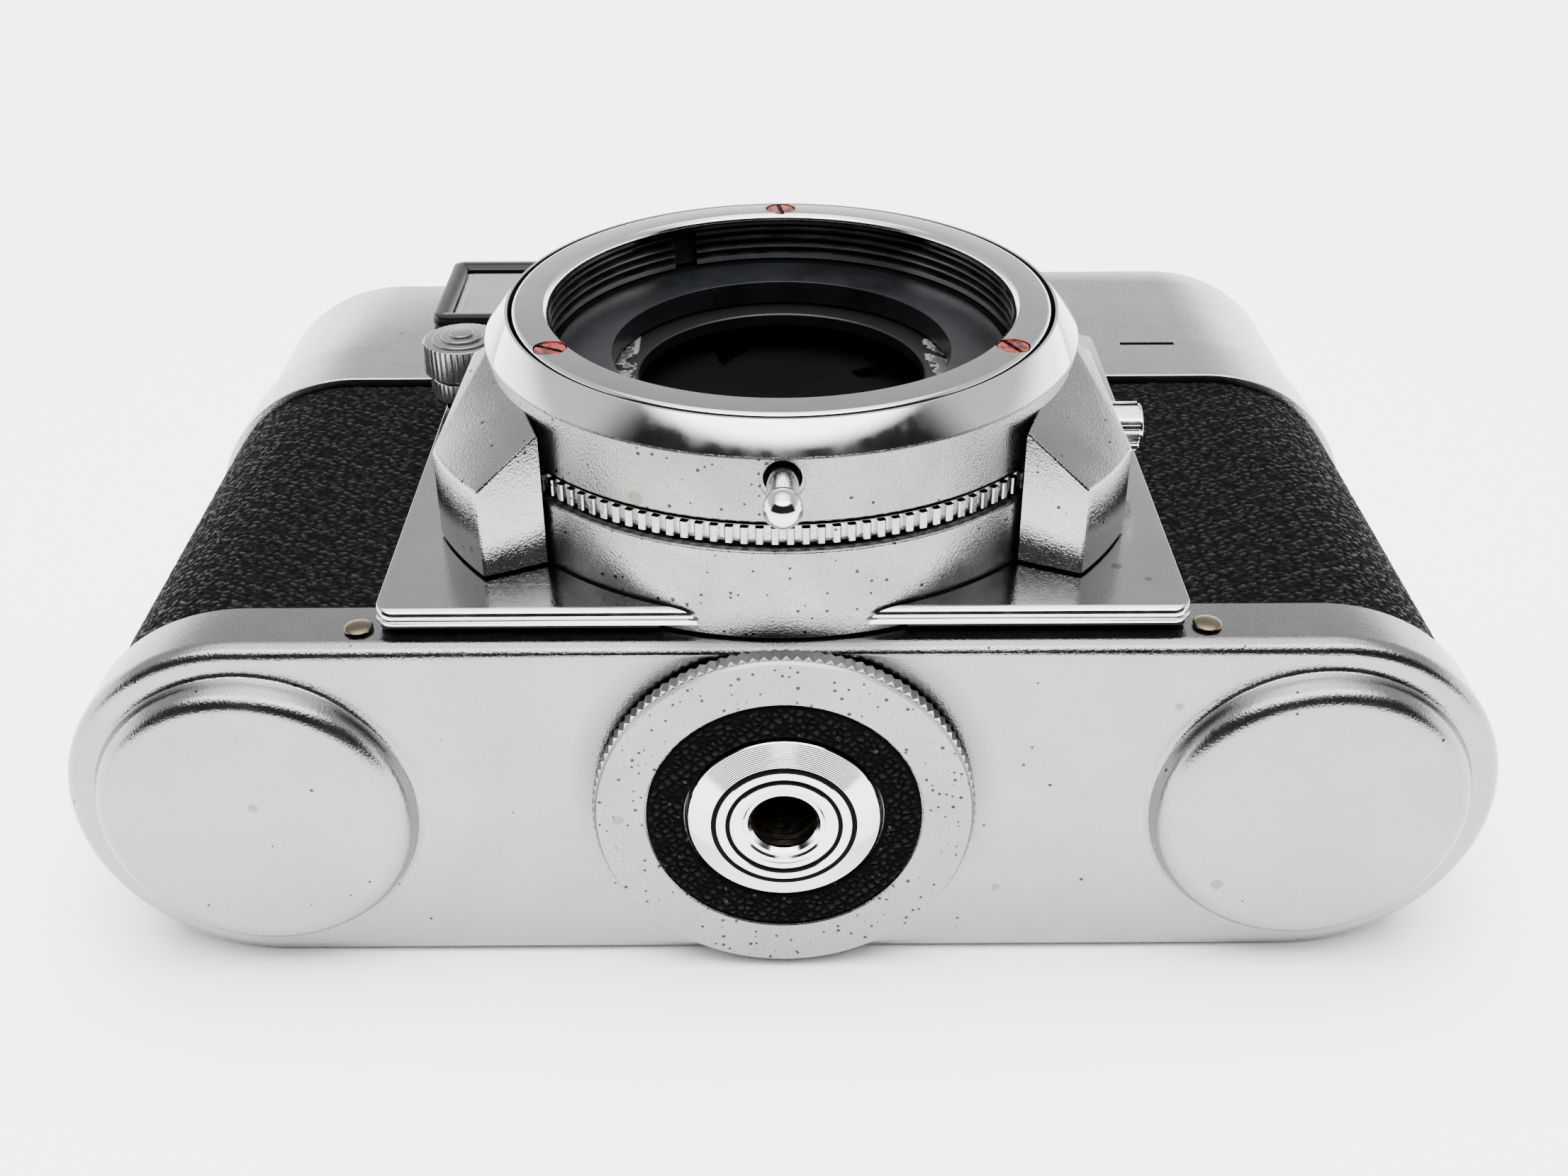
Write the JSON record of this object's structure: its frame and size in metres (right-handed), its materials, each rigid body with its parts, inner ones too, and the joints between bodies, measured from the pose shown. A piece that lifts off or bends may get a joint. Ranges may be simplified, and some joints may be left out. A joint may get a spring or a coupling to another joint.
{
  "type": "35 mm camera body",
  "caption": "Interchangeable-lens 35 mm film camera body, no lens, with a front-standing lens mount, knurled base lock wheel and removable back.",
  "frame": {"origin": "on the flat of the back, on the lens axis", "axes": "+X to the right as the camera faces you, +Y from the base plate to the top plate, +Z along the lens axis towards the lens"},
  "size_m": [0.127, 0.0946, 0.0539],
  "materials": {
    "accessory_shoe": "satin chrome plate",
    "advance_knob": "satin chrome plate",
    "back_leather": "black grained leatherette",
    "back_plate": "die-cast, blackened inside",
    "base_cover": "satin chrome plate",
    "body_casting": "die-cast, blackened inside",
    "contact_stud": "machined brass",
    "eyepiece_glass": "clear, grey by reflection",
    "eyepiece_ring": "black enamel",
    "film_gate": "black enamel",
    "finder_bezel": "black enamel",
    "finder_window": "clear, grey by reflection",
    "flange_plate": "black enamel",
    "flange_screw_left": "polished chrome plate",
    "flange_screw_right": "polished chrome plate",
    "frame_counter": "satin chrome plate",
    "front_panel": "satin chrome plate",
    "idler_gear": "machined brass",
    "leather_left": "black grained leatherette",
    "leather_right": "black grained leatherette",
    "lock_bridge": "spring steel",
    "lock_cam": "spring steel",
    "lock_pin": "polished chrome plate",
    "lock_wheel": "satin chrome plate",
    "lower_barrel": "satin chrome plate",
    "mount_housing": "satin chrome plate",
    "mount_ring": "satin chrome plate",
    "mount_screw_1": "red lacquer in the slot and on the head",
    "mount_screw_2": "red lacquer in the slot and on the head",
    "mount_screw_3": "red lacquer in the slot and on the head",
    "pressure_plate": "black enamel",
    "pressure_spring": "spring steel",
    "release_cap": "satin chrome plate",
    "release_collar": "satin chrome plate",
    "rewind_button": "satin chrome plate",
    "rewind_knob": "satin chrome plate",
    "rewind_shaft": "spring steel",
    "serrated_ring": "satin chrome plate",
    "shutter_blade_1": "spring steel",
    "shutter_blade_2": "spring steel",
    "shutter_blade_3": "spring steel",
    "shutter_blade_4": "spring steel",
    "shutter_blade_5": "spring steel",
    "shutter_housing": "black enamel",
    "sprocket": "satin chrome plate",
    "sprocket_gear": "machined brass",
    "sync_socket": "satin chrome plate",
    "take_up_spool": "black enamel",
    "throat_ring": "black enamel",
    "top_cover": "satin chrome plate",
    "tripod_bush": "polished chrome plate",
    "wheel_leather": "black grained leatherette",
    "winding_gear": "machined brass"
  },
  "bodies": {
    "camera_body": {"body_casting": "body_casting", "leather_left": "leather_left", "leather_right": "leather_right", "front_panel": "front_panel", "lower_barrel": "lower_barrel", "mount_housing": "mount_housing", "mount_ring": "mount_ring", "mount_screw_1": "mount_screw_1", "mount_screw_2": "mount_screw_2", "mount_screw_3": "mount_screw_3", "flange_plate": "flange_plate", "throat_ring": "throat_ring", "shutter_housing": "shutter_housing", "film_gate": "film_gate", "finder_bezel": "finder_bezel", "eyepiece_ring": "eyepiece_ring", "finder_window": "finder_window", "eyepiece_glass": "eyepiece_glass", "sync_socket": "sync_socket", "top_cover": "top_cover", "accessory_shoe": "accessory_shoe", "contact_stud": "contact_stud"},
    "back_and_base": {"base_cover": "base_cover", "back_plate": "back_plate", "back_leather": "back_leather", "pressure_spring": "pressure_spring", "lock_bridge": "lock_bridge", "tripod_bush": "tripod_bush", "flange_screw_left": "flange_screw_left", "flange_screw_right": "flange_screw_right"},
    "pressure_plate": {"pressure_plate": "pressure_plate"},
    "lock_wheel": {"lock_wheel": "lock_wheel", "wheel_leather": "wheel_leather", "lock_cam": "lock_cam"},
    "serrated_ring": {"serrated_ring": "serrated_ring"},
    "release": {"release_cap": "release_cap", "release_collar": "release_collar"},
    "lock_pin": {"lock_pin": "lock_pin"},
    "winding_spindle": {"advance_knob": "advance_knob", "take_up_spool": "take_up_spool", "winding_gear": "winding_gear"},
    "idler": {"idler_gear": "idler_gear"},
    "sprocket": {"sprocket": "sprocket", "sprocket_gear": "sprocket_gear"},
    "frame_counter": {"frame_counter": "frame_counter"},
    "rewind": {"rewind_knob": "rewind_knob", "rewind_shaft": "rewind_shaft"},
    "rewind_button": {"rewind_button": "rewind_button"},
    "shutter_blade_1": {"shutter_blade_1": "shutter_blade_1"},
    "shutter_blade_2": {"shutter_blade_2": "shutter_blade_2"},
    "shutter_blade_3": {"shutter_blade_3": "shutter_blade_3"},
    "shutter_blade_4": {"shutter_blade_4": "shutter_blade_4"},
    "shutter_blade_5": {"shutter_blade_5": "shutter_blade_5"}
  },
  "joints": [
    {"name": "back_slide", "type": "slide", "parent": "camera_body", "child": "back_and_base", "axis": [0, -1, 0], "range_m": [0, 0.085]},
    {"name": "lock_wheel_turn", "type": "hinge", "parent": "back_and_base", "child": "lock_wheel", "pos_m": [0, -0.0299, 0.0175], "axis": [0, -1, 0], "range_deg": [0, 90]},
    {"name": "pressure_plate_give", "type": "slide", "parent": "back_and_base", "child": "pressure_plate", "axis": [0, 0, -1], "range_m": [0, 0.0009], "stiffness_N_per_m": 400, "springref_m": -0.002},
    {"name": "serrated_ring_turn", "type": "hinge", "parent": "camera_body", "child": "serrated_ring", "pos_m": [0, 0, 0.044], "axis": [0, 0, 1], "range_deg": [-45, 45]},
    {"name": "release_press", "type": "slide", "parent": "camera_body", "child": "release", "axis": [0, 0, -1], "range_m": [0, 0.001], "stiffness_N_per_m": 500, "springref_m": -0.002},
    {"name": "lock_pin_press", "type": "slide", "parent": "camera_body", "child": "lock_pin", "axis": [0, 1, 0], "range_m": [0, 0.002], "stiffness_N_per_m": 400, "springref_m": -0.002},
    {"name": "winding_turn", "type": "hinge", "parent": "camera_body", "child": "winding_spindle", "pos_m": [-0.0495, 0, 0.01712], "axis": [0, 1, 0], "continuous": true},
    {"name": "idler_turn", "type": "hinge", "parent": "camera_body", "child": "idler", "pos_m": [-0.038, 0.0271, 0.01712], "axis": [0, 1, 0], "continuous": true},
    {"name": "sprocket_turn", "type": "hinge", "parent": "camera_body", "child": "sprocket", "pos_m": [-0.0265, 0, 0.01712], "axis": [0, 1, 0], "continuous": true},
    {"name": "counter_turn", "type": "hinge", "parent": "camera_body", "child": "frame_counter", "pos_m": [-0.0495, 0.0519, 0.01712], "axis": [0, 1, 0], "continuous": true},
    {"name": "rewind_turn", "type": "hinge", "parent": "camera_body", "child": "rewind", "pos_m": [0.04638, 0, 0.01712], "axis": [0, 1, 0], "continuous": true},
    {"name": "rewind_button_press", "type": "slide", "parent": "camera_body", "child": "rewind_button", "axis": [0, -1, 0], "range_m": [0, 0.0015], "stiffness_N_per_m": 500, "springref_m": -0.002},
    {"name": "shutter_blade_1_swing", "type": "hinge", "parent": "camera_body", "child": "shutter_blade_1", "pos_m": [0.0193, 0, 0.0415], "axis": [0, 0, 1], "range_deg": [-40, 0]},
    {"name": "shutter_blade_2_swing", "type": "hinge", "parent": "camera_body", "child": "shutter_blade_2", "pos_m": [0.00596, 0.01836, 0.0421], "axis": [0, 0, 1], "range_deg": [-40, 0]},
    {"name": "shutter_blade_3_swing", "type": "hinge", "parent": "camera_body", "child": "shutter_blade_3", "pos_m": [-0.01561, 0.01134, 0.0427], "axis": [0, 0, 1], "range_deg": [-40, 0]},
    {"name": "shutter_blade_4_swing", "type": "hinge", "parent": "camera_body", "child": "shutter_blade_4", "pos_m": [-0.01561, -0.01134, 0.0433], "axis": [0, 0, 1], "range_deg": [-40, 0]},
    {"name": "shutter_blade_5_swing", "type": "hinge", "parent": "camera_body", "child": "shutter_blade_5", "pos_m": [0.00596, -0.01836, 0.0439], "axis": [0, 0, 1], "range_deg": [-40, 0]}
  ],
  "couplings": [
    {"joint": "idler_turn", "follows": "winding_turn", "ratio": -1},
    {"joint": "sprocket_turn", "follows": "winding_turn", "ratio": 1},
    {"joint": "counter_turn", "follows": "winding_turn", "ratio": 0.025},
    {"joint": "shutter_blade_2_swing", "follows": "shutter_blade_1_swing", "ratio": 1},
    {"joint": "shutter_blade_3_swing", "follows": "shutter_blade_1_swing", "ratio": 1},
    {"joint": "shutter_blade_4_swing", "follows": "shutter_blade_1_swing", "ratio": 1},
    {"joint": "shutter_blade_5_swing", "follows": "shutter_blade_1_swing", "ratio": 1}
  ]
}
